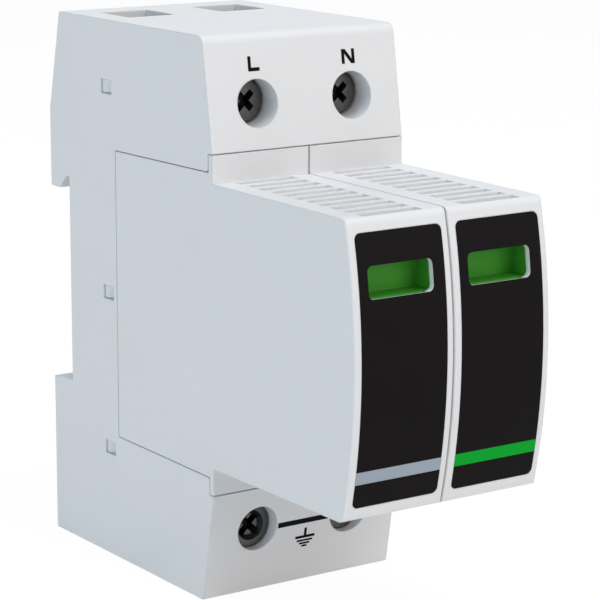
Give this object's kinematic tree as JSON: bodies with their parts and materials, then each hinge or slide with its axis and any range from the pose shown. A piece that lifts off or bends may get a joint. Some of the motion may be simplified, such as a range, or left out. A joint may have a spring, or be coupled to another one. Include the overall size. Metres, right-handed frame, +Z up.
{
  "type": "din rail surge arrester",
  "caption": "U-shaped rail-mounted base with screw terminals, holding side-by-side plug-in surge cartridges with curved black fronts and green status windows.",
  "frame": {"origin": "on the rail's front plane, at the rail's centre line and mid-width", "axes": "+X across the poles, +Y towards the rail, so the front faces -Y, and +Z up"},
  "size_m": [0.036, 0.0883, 0.09],
  "materials": {
    "housing_plastic": "fine-textured light grey polyamide",
    "cartridge_plastic": "fine-textured light grey polyamide",
    "clip_plastic": "plain dark grey polyamide",
    "carrier_plastic": "plain dark polyamide",
    "film": "satin black printed film",
    "flag_green": "plain green moulding",
    "plate_red": "plain red moulding",
    "screw_steel": "black zinc plate, satin",
    "zinc_steel": "zinc plate",
    "spring_steel": "bright drawn wire",
    "copper": "bright copper",
    "tinned_copper": "tin plate",
    "contact_bronze": "bright spring bronze",
    "varistor_coating": "blue epoxy coating over a zinc oxide block",
    "tube_ceramic": "white alumina"
  },
  "bodies": {
    "base": {"base_housing": "housing_plastic", "rear_cover": "housing_plastic", "rail_clip_spring": "spring_steel", "line_bar": "copper", "neutral_bar": "copper", "earth_bar": "copper", "line_contact": "contact_bronze", "neutral_contact": "contact_bronze", "line_earth_contact": "contact_bronze", "neutral_earth_contact": "contact_bronze"},
    "line_cartridge": {"line_housing": "cartridge_plastic", "line_back_plate": "cartridge_plastic", "line_front_film": "film", "line_upper_blade": "tinned_copper", "line_lower_blade": "tinned_copper", "line_carrier": "carrier_plastic", "line_lever_pin": "zinc_steel", "line_status_plate": "plate_red", "line_trip_spring": "spring_steel", "line_varistor": "varistor_coating"},
    "line_indicator": {"line_trip_lever": "carrier_plastic", "line_status_flag": "flag_green"},
    "neutral_cartridge": {"neutral_housing": "cartridge_plastic", "neutral_back_plate": "cartridge_plastic", "neutral_front_film": "film", "neutral_upper_blade": "tinned_copper", "neutral_lower_blade": "tinned_copper", "neutral_carrier": "carrier_plastic", "neutral_lever_pin": "zinc_steel", "neutral_status_plate": "plate_red", "neutral_trip_spring": "spring_steel", "neutral_gas_tube": "tube_ceramic", "neutral_tube_caps": "zinc_steel"},
    "neutral_indicator": {"neutral_trip_lever": "carrier_plastic", "neutral_status_flag": "flag_green"},
    "line_screw": {"line_screw": "screw_steel"},
    "line_cage": {"line_cage": "zinc_steel"},
    "neutral_screw": {"neutral_screw": "screw_steel"},
    "neutral_cage": {"neutral_cage": "zinc_steel"},
    "line_earth_screw": {"line_earth_screw": "screw_steel"},
    "line_earth_cage": {"line_earth_cage": "zinc_steel"},
    "neutral_earth_screw": {"neutral_earth_screw": "screw_steel"},
    "neutral_earth_cage": {"neutral_earth_cage": "zinc_steel"},
    "rail_clip": {"rail_clip": "clip_plastic"}
  },
  "joints": [
    {"name": "line_cartridge_pull", "type": "slide", "parent": "base", "child": "line_cartridge", "axis": [0, -1, 0], "range_m": [0, 0.04]},
    {"name": "line_trip", "type": "hinge", "parent": "line_cartridge", "child": "line_indicator", "pos_m": [-0.00906, -0.046, 0.007], "axis": [1, 0, 0], "range_deg": [0, 12], "deforming": ["line_trip_spring"]},
    {"name": "neutral_cartridge_pull", "type": "slide", "parent": "base", "child": "neutral_cartridge", "axis": [0, -1, 0], "range_m": [0, 0.04]},
    {"name": "neutral_trip", "type": "hinge", "parent": "neutral_cartridge", "child": "neutral_indicator", "pos_m": [0.00906, -0.046, 0.007], "axis": [1, 0, 0], "range_deg": [0, 12], "deforming": ["neutral_trip_spring"]},
    {"name": "line_screw_turn", "type": "hinge", "parent": "base", "child": "line_screw", "pos_m": [-0.0089, -0.03, 0.0342], "axis": [0, 1, 0], "range_deg": [0, 2161]},
    {"name": "line_cage_lift", "type": "slide", "parent": "base", "child": "line_cage", "axis": [0, -1, 0], "range_m": [0, 0.0048]},
    {"name": "neutral_screw_turn", "type": "hinge", "parent": "base", "child": "neutral_screw", "pos_m": [0.0089, -0.03, 0.0342], "axis": [0, 1, 0], "range_deg": [0, 2161]},
    {"name": "neutral_cage_lift", "type": "slide", "parent": "base", "child": "neutral_cage", "axis": [0, -1, 0], "range_m": [0, 0.0048]},
    {"name": "line_earth_screw_turn", "type": "hinge", "parent": "base", "child": "line_earth_screw", "pos_m": [-0.0089, -0.03, -0.0342], "axis": [0, 1, 0], "range_deg": [0, 2161]},
    {"name": "line_earth_cage_lift", "type": "slide", "parent": "base", "child": "line_earth_cage", "axis": [0, -1, 0], "range_m": [0, 0.0048]},
    {"name": "neutral_earth_screw_turn", "type": "hinge", "parent": "base", "child": "neutral_earth_screw", "pos_m": [0.0089, -0.03, -0.0342], "axis": [0, 1, 0], "range_deg": [0, 2161]},
    {"name": "neutral_earth_cage_lift", "type": "slide", "parent": "base", "child": "neutral_earth_cage", "axis": [0, -1, 0], "range_m": [0, 0.0048]},
    {"name": "rail_clip_pull", "type": "slide", "parent": "base", "child": "rail_clip", "axis": [0, 0, -1], "range_m": [0, 0.003], "stiffness_N_per_m": 1500, "springref_m": -0.002, "deforming": ["rail_clip_spring"]}
  ],
  "couplings": [
    {"joint": "line_screw_turn", "follows": "line_cage_lift", "rad_per_m": 7854},
    {"joint": "neutral_screw_turn", "follows": "neutral_cage_lift", "rad_per_m": 7854},
    {"joint": "line_earth_screw_turn", "follows": "line_earth_cage_lift", "rad_per_m": 7854},
    {"joint": "neutral_earth_screw_turn", "follows": "neutral_earth_cage_lift", "rad_per_m": 7854}
  ]
}
